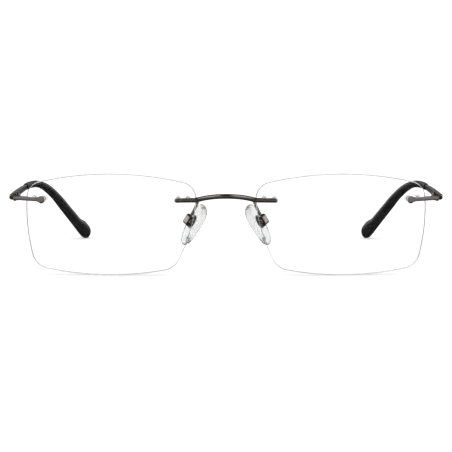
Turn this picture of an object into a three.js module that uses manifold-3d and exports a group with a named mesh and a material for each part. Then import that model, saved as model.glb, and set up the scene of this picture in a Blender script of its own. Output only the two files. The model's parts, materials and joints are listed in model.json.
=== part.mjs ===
// Rimless eyeglasses with drilled lenses, a wire bridge, adjustable nose pads and folding temples.
// Millimetres. X runs across the face, the front faces -Y, the temples run back along +Y, Z is up.
// The glasses stand open on the lower edges of both lenses and on both temple ends.
// Every piece of a side is made for the +X side, and the -X side is its mirror image.
import * as THREE from "three";
import { mergeVertices } from "three/addons/utils/BufferGeometryUtils.js";
import Module from "manifold-3d";

const wasm = await Module();
wasm.setup();

// --- Driving dimensions ---

const NOSE_GAP = 18.8; // between the two lenses
const FRONT_TILT = 4.5; // degrees by which the top of the front leans forward
const TEMPLE_DROP = 6.265; // degrees between the temple and the line square to the front
const CLEARANCE = 0.5; // between metal and lens, where the clear sleeves stand out

const LENS = {
  halfWidth: 27,
  halfHeight: 16.2,
  thickness: 1.8,
  frontRadius: 125,
  faceForm: 4, // degrees by which each lens turns back at the temple side
};
// Each edge of the lens is an arc: its radius, and how far along the edge its crest lies.
const LENS_EDGES = {
  temporal: { radius: 66, crest: 5 },
  top: { radius: 93, crest: -0.6 },
  nasal: { radius: 49.4, crest: 11.7 },
  bottom: { radius: 108, crest: 1.6 },
};
const LENS_CORNERS = { topTemporal: 5.4, topNasal: 5.5, bottomNasal: 6, bottomTemporal: 5.6 };

// Two-pin lens mounts, and their places on the lens from its middle.
const NASAL_MOUNT = { across: -22.95, height: 8.07, spacing: 3.15 };
const TEMPORAL_MOUNT = { across: 23.325, height: 7.8, spacing: 3.2 };
const MOUNT = {
  holeRadius: 0.75,
  sleeveRadius: 0.68,
  boreRadius: 0.5,
  sleeveGap: 0.1, // between the metal and the sleeve
  collarRadius: 1.15,
  collarThickness: 0.35,
  collarGap: 0.15, // between the back of the lens and the collar
  webHeight: 0.5,
  pinRadius: 0.42,
  pinLength: 2.1,
};

const BAR = {
  height: 1.52,
  depth: 1.4,
  endBeyondPin: 1.375,
  rise: 1.34, // of the arch above the straight ends
  run: 9.9, // from the middle to where the straight ends begin
  archRadius: 33,
  bow: 0.8, // forwards, at the middle
};

const ENDPIECE = {
  paddleRadius: 1.22,
  rodHeight: 1.28,
  thickness: 1.2,
  endHeight: 1.6,
  elbowRadius: 2.6,
  sideX: 68, // middle of the part that runs back to the hinge
  backY: 9.6,
  rise: 0.25,
};

// Hinge sizes, about its own upright axis.
const HINGE = {
  axisX: 66.15,
  height: 2.4,
  knuckleRadius: 0.95,
  reliefRadius: 1.05,
  middleHeight: 0.84,
  gap: 0.06,
  leafThickness: 0.9,
  frontLeafLength: 2.1,
  templeLeafLength: 3,
  leafSetback: 0.3,
  buttGap: 0.3,
  boreRadius: 0.48,
  screwRadius: 0.42,
  headRadius: 0.75,
  headHeight: 0.4,
};

// Distances along the temple's curve run from the hinge.
const TEMPLE = {
  thickness: 1.1,
  startHeight: 1.6,
  endHeight: 1.7,
  swell: 0.5,
  coreRadius: 0.5,
  coreEnd: 117.5,
  length: 126.6,
  inwardStart: 62.3,
  inwardEnd: 109.3,
  inwardAngle: 31.3,
  downStart: 78.3,
  downEnd: 108.1,
  downAngle: 38.2,
};
const TIP = { start: 60, boreRadius: 0.75, boreEnd: 118.5, rounding: 3.2 };
// Height and thickness of the tip's section along the temple, and how far it stands above the wire.
const TIP_SECTIONS = [
  { at: 60, height: 2.2, thickness: 1.9, lift: 0 },
  { at: 64, height: 2.35, thickness: 2, lift: 0 },
  { at: 86, height: 2.4, thickness: 2, lift: 0 },
  { at: 99, height: 3.1, thickness: 2.5, lift: -0.05 },
  { at: 106, height: 3.6, thickness: 2.6, lift: -0.05 },
  { at: 117, height: 3.85, thickness: 2.7, lift: 0.1 },
  { at: 121.5, height: 5, thickness: 3.1, lift: 0.65 },
  { at: 126.6, height: 4.8, thickness: 3.1, lift: 0.75 },
];

// Nose pads, about their pivot: the nose is at -X, the back at +Y and the top at +Z.
const PAD = {
  pivot: [11.7, 7.6, 0.4],
  frontal: 30, // degrees by which the pads spread downwards
  splay: 26, // degrees by which the pads spread backwards
  height: 14.1,
  width: 6.4,
  thickness: 2.45,
  drop: 0.75, // of its middle below the pivot
  backX: -1.1,
};
const PAD_CORE = { height: 4.6, width: 3.1, thickness: 0.6, lugRadius: 0.7, lugWidth: 1.5 };
const PAD_BOX = { height: 3.5, width: 2.7, depth: 2.05, farX: 1.2, wall: 0.42, corner: 0.9 };
const PAD_SCREW = { radius: 0.4, holeRadius: 0.48, headRadius: 0.72, headHeight: 0.35 };
const PAD_ARM = { radius: 0.5, start: 8.4, reach: 7, drop: 3.6 };

const GUNMETAL = { color: 0x413d3a, roughness: 0.32, metalness: 0.9 };
const STEEL = { color: 0xa9a9a6, roughness: 0.3, metalness: 0.95 };
const LENS_CLEAR = { color: 0xf4f7f6, roughness: 0.02, transparent: true, opacity: 0.3 };
const CLEAR_PLASTIC = { color: 0xe9ecea, roughness: 0.12, transparent: true, opacity: 0.5 };
const SILICONE = { color: 0xe4e7e5, roughness: 0.25, transparent: true, opacity: 0.55 };
const BLACK = { color: 0x161617, roughness: 0.28 };

const rad = THREE.MathUtils.degToRad;
const { lerp, smoothstep } = THREE.MathUtils;

// --- Helpers ---

function toSolid(geometry) {
  const bare = geometry.clone();
  bare.deleteAttribute("normal");
  bare.deleteAttribute("uv");
  const merged = mergeVertices(bare, 1e-4);
  const vertProperties = new Float32Array(merged.attributes.position.array);
  const triVerts = new Uint32Array(merged.index.array);
  return new wasm.Manifold(new wasm.Mesh({ numProp: 3, vertProperties, triVerts }));
}

function toGeometry(solid) {
  const mesh = solid.getMesh();
  const geometry = new THREE.BufferGeometry();
  geometry.setAttribute("position", new THREE.BufferAttribute(mesh.vertProperties, 3));
  geometry.setIndex(new THREE.BufferAttribute(mesh.triVerts, 1));
  geometry.computeVertexNormals();
  return geometry;
}

// The base joined with some geometries, less some others.
function combine(base, joined, cut) {
  let solid = toSolid(base);
  for (const geometry of joined) solid = solid.add(toSolid(geometry));
  for (const geometry of cut) solid = solid.subtract(toSolid(geometry));
  return toGeometry(solid);
}

function piece(name, geometry, finish) {
  const mesh = new THREE.Mesh(geometry, new THREE.MeshStandardMaterial(finish));
  mesh.name = name;
  return mesh;
}

function box(sizes, centre) {
  return new THREE.BoxGeometry(...sizes).translate(...centre);
}

// A cylinder along Y, from one depth to another.
function rod(radius, fromY, toY, x, z, sides = 18) {
  const length = toY - fromY;
  return new THREE.CylinderGeometry(radius, radius, length, sides)
    .translate(x, fromY + length / 2, z);
}

// A cylinder about the Z axis, from one height to another.
function post(radius, fromZ, toZ, sides = 20) {
  return rod(radius, fromZ, toZ, 0, 0, sides).rotateX(Math.PI / 2);
}

// A closed outline of half-size 1: a circle where power is 2, squarer where it is more.
function roundOutline(sides, power = 2) {
  const points = [];
  for (let i = 0; i < sides; i++) {
    const angle = (2 * Math.PI * (i + 0.5)) / sides;
    const c = Math.cos(angle);
    const s = Math.sin(angle);
    const x = Math.sign(c) * Math.abs(c) ** (2 / power);
    const y = Math.sign(s) * Math.abs(s) ** (2 / power);
    points.push(new THREE.Vector2(x, y));
  }
  return new THREE.Shape(points);
}

// A square of half-size 1 with round corners and flat sides.
function flatSidedOutline(corner) {
  const flat = 1 - corner;
  const shape = new THREE.Shape();
  shape.absarc(flat, flat, corner, 0, Math.PI / 2, false);
  shape.absarc(-flat, flat, corner, Math.PI / 2, Math.PI, false);
  shape.absarc(-flat, -flat, corner, Math.PI, 1.5 * Math.PI, false);
  shape.absarc(flat, -flat, corner, 1.5 * Math.PI, 2 * Math.PI, false);
  return shape;
}

// One place along a sweep: half the section's width lies along u and half its height along v.
function station(centre, along, upwards, halfWidth, halfHeight) {
  const up = upwards.clone().addScaledVector(along, -along.dot(upwards)).normalize();
  const across = new THREE.Vector3().crossVectors(up, along);
  return {
    centre,
    u: across.multiplyScalar(halfWidth),
    v: up.multiplyScalar(halfHeight),
  };
}

// An extrusion of an outline of half-size 1, laid along stations.
function sweep(outline, stations) {
  const last = stations.length - 1;
  const geometry = new THREE.ExtrudeGeometry(outline, {
    depth: 1,
    steps: last,
    bevelEnabled: false,
    curveSegments: 1,
  });
  const position = geometry.attributes.position;
  for (let i = 0; i < position.count; i++) {
    const { centre, u, v } = stations[Math.round(position.getZ(i) * last)];
    const point = centre
      .clone()
      .addScaledVector(u, position.getX(i))
      .addScaledVector(v, position.getY(i));
    position.setXYZ(i, point.x, point.y, point.z);
  }
  return geometry;
}

function evenly(from, to, steps) {
  return Array.from({ length: steps + 1 }, (_, i) => lerp(from, to, i / steps));
}

// How much of its full size a section has at a distance from the end that it rounds off.
function roundEnd(distance, rounding) {
  const smallest = 0.12;
  const t = Math.min(distance / rounding, 1);
  return Math.max(Math.sqrt(1 - (1 - t) ** 2), smallest);
}
const ROUND_END_SHARES = [0, 0.02, 0.1, 0.25, 0.5];

// --- Lens ---

// Centre of a fillet that touches two edge circles from inside, near a corner.
function filletCentre(a, b, radius, corner) {
  const reachA = a.radius - radius;
  const reachB = b.radius - radius;
  const line = new THREE.Vector2().subVectors(b.centre, a.centre);
  const gap = line.length();
  const along = (reachA ** 2 - reachB ** 2 + gap ** 2) / (2 * gap);
  const across = Math.sqrt(reachA ** 2 - along ** 2);
  line.normalize();
  const foot = a.centre.clone().addScaledVector(line, along);
  const square = new THREE.Vector2(-line.y, line.x);
  const found = [1, -1].map((sign) => foot.clone().addScaledVector(square, sign * across));
  return found.sort((p, q) => p.distanceTo(corner) - q.distanceTo(corner))[0];
}

// The lens outline, seen from the front: eight arcs, each meeting the next without a kink.
function lensOutline() {
  const { halfWidth: w, halfHeight: h } = LENS;
  const { temporal, top, nasal, bottom } = LENS_EDGES;
  const circle = (x, y, radius) => ({ centre: new THREE.Vector2(x, y), radius });
  const edges = [
    circle(w - temporal.radius, temporal.crest, temporal.radius),
    circle(top.crest, h - top.radius, top.radius),
    circle(nasal.radius - w, nasal.crest, nasal.radius),
    circle(bottom.crest, bottom.radius - h, bottom.radius),
  ];
  const wanted = [
    [LENS_CORNERS.topTemporal, w, h],
    [LENS_CORNERS.topNasal, -w, h],
    [LENS_CORNERS.bottomNasal, -w, -h],
    [LENS_CORNERS.bottomTemporal, w, -h],
  ];
  const corners = wanted.map(([radius, x, y], i) => {
    const before = edges[i];
    const after = edges[(i + 1) % edges.length];
    const centre = filletCentre(before, after, radius, new THREE.Vector2(x, y));
    const from = centre.clone().sub(before.centre).angle();
    const to = centre.clone().sub(after.centre).angle();
    return { centre, radius, from, to };
  });
  const shape = new THREE.Shape();
  corners.forEach(({ centre, radius, from, to }, i) => {
    const edge = edges[(i + 1) % edges.length];
    const next = corners[(i + 1) % corners.length];
    shape.absarc(centre.x, centre.y, radius, from, to, false);
    shape.absarc(edge.centre.x, edge.centre.y, edge.radius, to, next.from, false);
  });
  return shape;
}

// Depth of the lens's front surface behind its foremost point.
function sag(u, v) {
  return LENS.frontRadius - Math.sqrt(LENS.frontRadius ** 2 - u ** 2 - v ** 2);
}

// A curved disc of even thickness, wider than the lens.
function lensBlank() {
  const radii = evenly(0, 33, 6);
  const backRadius = LENS.frontRadius - LENS.thickness;
  const front = radii.map((r) => new THREE.Vector2(r, sag(r, 0)));
  const back = radii.map((r) => {
    return new THREE.Vector2(r, LENS.frontRadius - Math.sqrt(backRadius ** 2 - r ** 2));
  });
  return new THREE.LatheGeometry([...front, ...back.reverse()], 40);
}

function lensGeometry() {
  const reach = 10;
  const prism = new THREE.ExtrudeGeometry(lensOutline(), {
    depth: 2 * reach,
    bevelEnabled: false,
    curveSegments: 5,
  });
  prism.rotateX(Math.PI / 2).translate(0, reach, 0);
  let solid = toSolid(lensBlank()).intersect(toSolid(prism));
  for (const place of [NASAL_MOUNT, TEMPORAL_MOUNT]) {
    const frame = mountFrame(place);
    for (const x of pinPlaces(place)) {
      const hole = rod(MOUNT.holeRadius, -4, 6, x, 0).applyMatrix4(frame.matrix);
      solid = solid.subtract(toSolid(hole));
    }
  }
  return toGeometry(solid);
}

// Where a lens stands in the front.
function lensFrame() {
  const frame = new THREE.Group();
  frame.position.x = NOSE_GAP / 2 + LENS.halfWidth;
  frame.rotation.z = rad(LENS.faceForm);
  return frame;
}

// --- Lens mounts ---

// A frame on the lens's front surface, midway between the two holes. Its Y points into the lens.
function mountFrame({ across, height }) {
  const frame = new THREE.Group();
  frame.position.set(across, sag(across, height), height);
  frame.rotation.z = Math.asin(across / LENS.frontRadius);
  frame.updateMatrix();
  return frame;
}

// The same frame's matrix, measured in the front.
function mountInFront(place) {
  const frame = mountFrame(place);
  lensFrame().add(frame);
  frame.updateWorldMatrix(true, false);
  return frame.matrixWorld;
}

// The angle at which the lens turns back at a mount.
function mountSlope({ across }) {
  return rad(LENS.faceForm) + Math.asin(across / LENS.frontRadius);
}

function pinPlaces({ spacing }) {
  return [-spacing / 2, spacing / 2];
}

// A double sleeve of clear plastic: two tubes through the lens, with joined collars behind it.
function sleeveGeometry(place) {
  const { collarRadius, collarThickness, collarGap, webHeight, sleeveRadius, boreRadius } = MOUNT;
  const front = MOUNT.sleeveGap - CLEARANCE;
  const collar = LENS.thickness + collarGap;
  const back = collar + collarThickness;
  const web = box([place.spacing, collarThickness, webHeight], [0, (collar + back) / 2, 0]);
  const joined = [];
  const bores = [];
  for (const x of pinPlaces(place)) {
    joined.push(rod(collarRadius, collar, back, x, 0));
    joined.push(rod(sleeveRadius, front, back, x, 0));
    bores.push(rod(boreRadius, front - 1, back + 1, x, 0, 14));
  }
  return combine(web, joined, bores);
}

// A pin with rings that grip the sleeve.
function pinGeometry() {
  const { pinRadius, pinLength } = MOUNT;
  const rings = evenly(0.6, 1.6, 3);
  const groove = 0.07;
  const profile = [new THREE.Vector2(0, 0), new THREE.Vector2(pinRadius, 0)];
  for (const y of rings) {
    profile.push(new THREE.Vector2(pinRadius, y));
    profile.push(new THREE.Vector2(pinRadius - groove, y + 0.1));
  }
  profile.push(new THREE.Vector2(pinRadius, pinLength - 0.2));
  profile.push(new THREE.Vector2(pinRadius - 0.15, pinLength));
  profile.push(new THREE.Vector2(0, pinLength));
  return new THREE.LatheGeometry(profile, 10);
}

function lensMount(place, sideName, mountName) {
  const group = mountFrame(place);
  const start = 0.05 - CLEARANCE;
  group.add(piece(`clear_sleeve_${mountName}_${sideName}`, sleeveGeometry(place), CLEAR_PLASTIC));
  pinPlaces(place).forEach((x, i) => {
    const pin = piece(`lens_pin_${mountName}_${i + 1}_${sideName}`, pinGeometry(), STEEL);
    pin.position.set(x, start, 0);
    group.add(pin);
  });
  return group;
}

// --- Bridge ---

// Rise of the bridge over its straight ends: an arch that eases out through a smaller arc.
function archHeight(x) {
  const turn = 2 * Math.atan(BAR.rise / BAR.run);
  const easeRadius = BAR.run / Math.sin(turn) - BAR.archRadius;
  const d = Math.abs(x);
  if (d >= BAR.run) return 0;
  if (d > BAR.archRadius * Math.sin(turn)) {
    return easeRadius - Math.sqrt(easeRadius ** 2 - (BAR.run - d) ** 2);
  }
  return BAR.rise - BAR.archRadius + Math.sqrt(BAR.archRadius ** 2 - d ** 2);
}

// Middle line of the bridge. Its ends lie flat against the lenses.
function bridgePoint(x) {
  const seat = new THREE.Vector3(0, -CLEARANCE - BAR.depth / 2, 0);
  seat.applyMatrix4(mountInFront(NASAL_MOUNT));
  const slope = Math.tan(mountSlope(NASAL_MOUNT));
  const d = Math.abs(x);
  const inside = Math.max(1 - d / BAR.run, 0);
  const straight = seat.y + slope * (Math.max(d, BAR.run) - seat.x);
  const ease = -slope * BAR.run * inside * (1 - inside) ** 2;
  return new THREE.Vector3(
    x,
    straight + ease - BAR.bow * smoothstep(inside, 0, 1),
    NASAL_MOUNT.height + archHeight(x),
  );
}

function bridgeGeometry() {
  const reach = new THREE.Vector3(NASAL_MOUNT.spacing / 2 + BAR.endBeyondPin, 0, 0);
  const end = reach.applyMatrix4(mountInFront(NASAL_MOUNT)).x;
  const rounding = BAR.height / 2;
  const shares = ROUND_END_SHARES.map((share) => end - rounding * share);
  const places = [
    ...shares.map((x) => -x),
    ...evenly(rounding - end, end - rounding, 22),
    ...shares.reverse(),
  ];
  const up = new THREE.Vector3(0, 0, 1);
  const nudge = 0.05;
  const stations = places.map((x) => {
    const along = bridgePoint(x + nudge).sub(bridgePoint(x - nudge)).normalize();
    const size = roundEnd(end - Math.abs(x), rounding) / 2;
    return station(bridgePoint(x), along, up, size * BAR.depth, size * BAR.height);
  });
  return sweep(roundOutline(14, 2.3), stations);
}

// --- Endpiece ---

// In plan: out along the lens from the round paddle, round the elbow, and back to the hinge.
// The rod rises a little on its way to the elbow.
function endpieceRoute() {
  const { elbowRadius, sideX, backY, rise, thickness } = ENDPIECE;
  const mount = mountInFront(TEMPORAL_MOUNT);
  const seat = -CLEARANCE - thickness / 2;
  const [pinX] = pinPlaces(TEMPORAL_MOUNT);
  const start = new THREE.Vector3(pinX - ENDPIECE.paddleRadius, seat, 0).applyMatrix4(mount);
  const slope = mountSlope(TEMPORAL_MOUNT);
  const bendX = sideX - elbowRadius;
  const arcStart = new THREE.Vector3(bendX + elbowRadius * Math.sin(slope), 0, start.z + rise);
  arcStart.y = start.y + (arcStart.x - start.x) * Math.tan(slope);
  const bendY = arcStart.y + elbowRadius * Math.cos(slope);
  const run = arcStart.clone().sub(start);
  const paddle = PADDLE_SHARES.map((share) => (share * ENDPIECE.paddleRadius) / run.length());
  const straight = [...paddle, ...evenly(0.4, 1, 4)].map((t) => start.clone().addScaledVector(run, t));
  const elbow = evenly(slope, Math.PI / 2, 8).map((angle) => {
    const x = bendX + elbowRadius * Math.sin(angle);
    return new THREE.Vector3(x, bendY - elbowRadius * Math.cos(angle), arcStart.z);
  });
  return [...straight, ...elbow.slice(1), new THREE.Vector3(sideX, backY, start.z)];
}

// Places across the paddle, as shares of its radius from its free end.
const PADDLE_SHARES = [0.01, 0.08, 0.22, 0.45, 0.75, 1.05, 1.35, 1.6, 1.8, 2.05, 2.4];

// Half the height of the endpiece at a distance from its free end: a disc that runs into the rod.
function endpieceHalfHeight(distance) {
  const { paddleRadius, rodHeight } = ENDPIECE;
  const beyond = Math.abs(distance - paddleRadius);
  const disc = Math.sqrt(Math.max(paddleRadius ** 2 - beyond ** 2, 0));
  if (distance < paddleRadius) return Math.max(disc, 0.1);
  const neck = 1 - smoothstep(distance, 1.1 * paddleRadius, 2.4 * paddleRadius);
  return lerp(rodHeight / 2, Math.max(disc, 0.8 * paddleRadius), neck);
}

function endpieceGeometry() {
  const { thickness, rodHeight, endHeight } = ENDPIECE;
  const route = endpieceRoute();
  const last = route.length - 1;
  const up = new THREE.Vector3(0, 0, 1);
  const stations = route.map((point, i) => {
    const ahead = route[Math.min(i + 1, last)];
    const behind = route[Math.max(i - 1, 0)];
    const along = i === last ? new THREE.Vector3(0, 1, 0) : ahead.clone().sub(behind);
    const flare = smoothstep(i, last - 9, last - 2) * (endHeight - rodHeight);
    const halfHeight = endpieceHalfHeight(point.distanceTo(route[0])) + flare / 2;
    return station(point, along.normalize(), up, thickness / 2, halfHeight);
  });
  return sweep(flatSidedOutline(0.35), stations);
}

// --- Hinge ---

const HINGE_SEAM = 0.05;
// From the hinge axis to the inner face of the endpiece.
const HINGE_TO_SIDE = ENDPIECE.sideX - ENDPIECE.thickness / 2 - HINGE.axisX;

// A leaf of the hinge. own and other are the heights taken by its knuckles and by its partner's.
function hingeLeaf(behind, leafLength, own, other) {
  const { leafThickness, leafSetback, height, knuckleRadius } = HINGE;
  const outerX = HINGE_TO_SIDE - HINGE_SEAM;
  const middleY = behind * (leafSetback + leafLength / 2);
  const plate = box([leafThickness, leafLength, height], [outerX - leafThickness / 2, middleY, 0]);
  const cut = other.map(([from, to]) => post(HINGE.reliefRadius, from, to));
  const joined = own.flatMap(([from, to]) => [
    post(knuckleRadius, from, to),
    box([0.8, 0.8, to - from], [0.5, behind * 0.5, (from + to) / 2]),
  ]);
  const relieved = combine(plate, [], cut);
  return combine(relieved, joined, [post(HINGE.boreRadius, -height, height)]);
}

function hingeLeaves() {
  const half = HINGE.height / 2;
  const middle = HINGE.middleHeight / 2;
  const { gap, frontLeafLength, templeLeafLength } = HINGE;
  const outer = [
    [middle + gap, half],
    [-half, -middle - gap],
  ];
  const outerRelief = [
    [middle, half + gap],
    [-half - gap, -middle],
  ];
  const front = hingeLeaf(-1, frontLeafLength, outer, [[-middle - gap, middle + gap]]);
  const temple = hingeLeaf(1, templeLeafLength, [[-middle, middle]], outerRelief);
  return { front, temple };
}

// A slotted screw along Y, with its head in front of the seat.
function screwGeometry(shankRadius, shankLength, headRadius, headHeight) {
  const edge = 0.1;
  const profile = [
    [0, -headHeight],
    [headRadius - edge, -headHeight],
    [headRadius, edge - headHeight],
    [headRadius, 0],
    [shankRadius, 0],
    [shankRadius, shankLength - edge],
    [shankRadius - edge, shankLength],
    [0, shankLength],
  ].map(([x, y]) => new THREE.Vector2(x, y));
  const slotWidth = 0.3 * headRadius;
  const slot = box([3 * headRadius, headHeight, slotWidth], [0, -headHeight, 0]);
  return combine(new THREE.LatheGeometry(profile, 18), [], [slot]);
}

// --- Temple ---

// Places along the temple every STRIDE, each with its direction and its upward side.
const STRIDE = 0.1;
function traceTemple() {
  const place = new THREE.Vector3(ENDPIECE.sideX - HINGE.axisX, HINGE.buttGap / 2, 0);
  const trace = [];
  for (let at = 0; at <= TEMPLE.length + STRIDE; at += STRIDE) {
    const inward = rad(TEMPLE.inwardAngle) * smoothstep(at, TEMPLE.inwardStart, TEMPLE.inwardEnd);
    const down = rad(TEMPLE.downAngle) * smoothstep(at, TEMPLE.downStart, TEMPLE.downEnd);
    const along = new THREE.Vector3(
      -Math.sin(inward) * Math.cos(down),
      Math.cos(inward) * Math.cos(down),
      -Math.sin(down),
    );
    trace.push({ centre: place.clone(), along });
    place.addScaledVector(along, STRIDE);
  }
  return trace;
}
const TEMPLE_TRACE = traceTemple();

function templeStation(at, height, thickness) {
  const { centre, along } = TEMPLE_TRACE[Math.round(at / STRIDE)];
  return station(centre, along, new THREE.Vector3(0, 0, 1), thickness / 2, height / 2);
}

// The metal arm: a flat strip, then a shoulder and the round core wire inside the tip.
function armGeometry() {
  const { startHeight, endHeight, swell, thickness, coreRadius, coreEnd } = TEMPLE;
  const shoulder = TIP.start - 0.1;
  const strip = evenly(0, shoulder, 7).map((at) => {
    const share = at / shoulder;
    const height = lerp(startHeight, endHeight, share) + swell * Math.sin(Math.PI * share);
    return templeStation(at, height, thickness);
  });
  const core = [shoulder + 0.05, ...evenly(76, coreEnd, 20)].map((at) => {
    return templeStation(at, 2 * coreRadius, 2 * coreRadius);
  });
  return sweep(flatSidedOutline(0.5), [...strip, ...core]);
}

function tipSection(at) {
  const next = Math.max(TIP_SECTIONS.findIndex((row) => row.at >= at), 1);
  const a = TIP_SECTIONS[next - 1];
  const b = TIP_SECTIONS[next];
  const share = smoothstep(at, a.at, b.at);
  return {
    height: lerp(a.height, b.height, share),
    thickness: lerp(a.thickness, b.thickness, share),
    lift: lerp(a.lift, b.lift, share),
  };
}

function tipGeometry() {
  const end = TEMPLE.length;
  const bodyEnd = end - TIP.rounding;
  const shares = [...ROUND_END_SHARES].reverse().map((share) => end - TIP.rounding * share);
  const places = [...evenly(TIP.start, 78, 3), ...evenly(81, bodyEnd, 16), ...shares];
  const stations = places.map((at) => {
    const { height, thickness, lift } = tipSection(at);
    const size = roundEnd(end - at, TIP.rounding);
    const section = templeStation(at, size * height, size * thickness);
    const up = section.v.clone().normalize();
    return { ...section, centre: section.centre.clone().addScaledVector(up, lift) };
  });
  const bore = [TIP.start - 1, ...evenly(76, TIP.boreEnd, 16)].map((at) => {
    return templeStation(at, 2 * TIP.boreRadius, 2 * TIP.boreRadius);
  });
  return combine(sweep(roundOutline(16, 2.4), stations), [], [sweep(roundOutline(8), bore)]);
}

// The temple opens and folds about the Z axis of this group.
function temple(sideName, leafGeometry) {
  const group = new THREE.Group();
  const sloping = new THREE.Group();
  sloping.rotation.x = -rad(TEMPLE_DROP);
  sloping.add(piece(`temple_arm_${sideName}`, armGeometry(), GUNMETAL));
  sloping.add(piece(`temple_tip_${sideName}`, tipGeometry(), BLACK));
  group.add(sloping, piece(`hinge_leaf_temple_${sideName}`, leafGeometry, GUNMETAL));
  return group;
}

// --- Nose pads ---

function padFrame() {
  const frame = new THREE.Group();
  frame.position.set(...PAD.pivot);
  frame.rotation.set(0, -rad(PAD.frontal), -rad(PAD.splay), "YXZ");
  frame.updateMatrix();
  return frame;
}

// From behind the bridge, back and down to the top of the pad box.
function padArmGeometry() {
  const gap = 0.06;
  const start = bridgePoint(PAD_ARM.start).add(new THREE.Vector3(0, BAR.depth / 2 + gap, -0.1));
  const landing = new THREE.Vector3(PAD_BOX.farX - 0.95, 0, PAD_BOX.height / 2 + gap);
  const above = landing.clone().setZ(landing.z + PAD_ARM.drop);
  const { matrix } = padFrame();
  const route = new THREE.CubicBezierCurve3(
    start,
    start.clone().add(new THREE.Vector3(0, PAD_ARM.reach, -0.3)),
    above.applyMatrix4(matrix),
    landing.applyMatrix4(matrix),
  );
  const reference = new THREE.Vector3(1, 0, 0);
  const stations = evenly(0, 1, 16).map((t) => {
    return station(route.getPoint(t), route.getTangent(t), reference, PAD_ARM.radius, PAD_ARM.radius);
  });
  return sweep(roundOutline(10), stations);
}

// A cradle open towards the nose, with a cheek on each side of the pad's lug.
function padBoxGeometry() {
  const { height, width, depth, farX, wall, corner } = PAD_BOX;
  const nearX = farX - depth;
  const h = height / 2;
  const shape = new THREE.Shape();
  shape.absarc(farX - corner, h - corner, corner, 0, Math.PI / 2, false);
  shape.absarc(nearX + corner, h - corner, corner, Math.PI / 2, Math.PI, false);
  shape.absarc(nearX + corner, corner - h, corner, Math.PI, 1.5 * Math.PI, false);
  shape.absarc(farX - corner, corner - h, corner, 1.5 * Math.PI, 2 * Math.PI, false);
  const body = new THREE.ExtrudeGeometry(shape, {
    depth: width,
    bevelEnabled: false,
    curveSegments: 4,
  });
  body.rotateX(Math.PI / 2).translate(0, width / 2, 0);
  const channel = box([depth, width - 2 * wall, height + 1], [nearX + depth / 2 - wall, 0, 0]);
  return combine(body, [], [channel, rod(PAD_SCREW.holeRadius, -width, width, 0, 0)]);
}

// The plate moulded into the pad, with a lug that turns on the screw.
function padCoreGeometry(margin = 0) {
  const { height, width, thickness, lugRadius, lugWidth } = PAD_CORE;
  const plate = new THREE.CylinderGeometry(1, 1, thickness + 2 * margin, 20)
    .rotateZ(Math.PI / 2)
    .scale(1, width / 2 + margin, height / 2 + margin)
    .translate(PAD.backX - thickness / 2 - 0.1, 0, 0);
  const neckEnd = PAD.backX - 0.3;
  const neck = box([-neckEnd, lugWidth, lugRadius * 1.6], [neckEnd / 2, 0, 0]);
  const lug = rod(lugRadius, -lugWidth / 2, lugWidth / 2, 0, 0);
  const bore = rod(PAD_SCREW.holeRadius, -lugWidth, lugWidth, 0, 0);
  return combine(plate, [neck, lug], [bore]);
}

// The outline of the pad, seen from the nose: a drop with its narrow end down and its front edge flatter.
function padOutline() {
  const { height, width } = PAD;
  const h = height / 2;
  const w = width / 2;
  const shape = new THREE.Shape();
  shape.moveTo(-w, 0.4 * h);
  shape.bezierCurveTo(-w, -0.45 * h, -0.8 * w, -h, -0.15 * w, -h);
  shape.bezierCurveTo(0.45 * w, -h, w, -0.55 * h, w, 0.15 * h);
  shape.bezierCurveTo(w, 0.75 * h, 0.75 * w, h, 0.3 * w, h);
  shape.bezierCurveTo(-0.5 * w, h, -w, 0.85 * h, -w, 0.4 * h);
  return shape;
}

// A silicone pad: full size at mid-thickness, rounded off towards its face and its back.
function nosePadGeometry() {
  const { thickness, backX, drop } = PAD;
  const outline = padOutline();
  const layers = evenly(-1, 1, 8);
  const geometry = new THREE.ExtrudeGeometry(outline, {
    depth: 1,
    steps: layers.length - 1,
    bevelEnabled: false,
    curveSegments: 7,
  });
  const position = geometry.attributes.position;
  for (let i = 0; i < position.count; i++) {
    const layer = layers[Math.round(position.getZ(i) * (layers.length - 1))];
    const angle = layer * rad(78);
    const size = 0.72 + 0.28 * Math.cos(angle) ** 0.8;
    const x = backX - thickness / 2 + (Math.sin(angle) / Math.sin(rad(78))) * (thickness / 2);
    position.setXYZ(i, x, position.getX(i) * size, position.getY(i) * size - drop);
  }
  return combine(geometry, [], [padCoreGeometry(0.05)]);
}

// The pad rocks about the Y axis of this group.
function nosePad(sideName) {
  const group = padFrame();
  const screw = screwGeometry(
    PAD_SCREW.radius,
    PAD_BOX.width + 0.25,
    PAD_SCREW.headRadius,
    PAD_SCREW.headHeight,
  );
  screw.translate(0, -PAD_BOX.width / 2 - 0.06, 0);
  group.add(piece(`pad_box_${sideName}`, padBoxGeometry(), GUNMETAL));
  group.add(piece(`pad_screw_${sideName}`, screw, STEEL));
  group.add(piece(`pad_core_${sideName}`, padCoreGeometry(), GUNMETAL));
  group.add(piece(`nose_pad_${sideName}`, nosePadGeometry(), SILICONE));
  return group;
}

// --- Assembly ---

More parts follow.
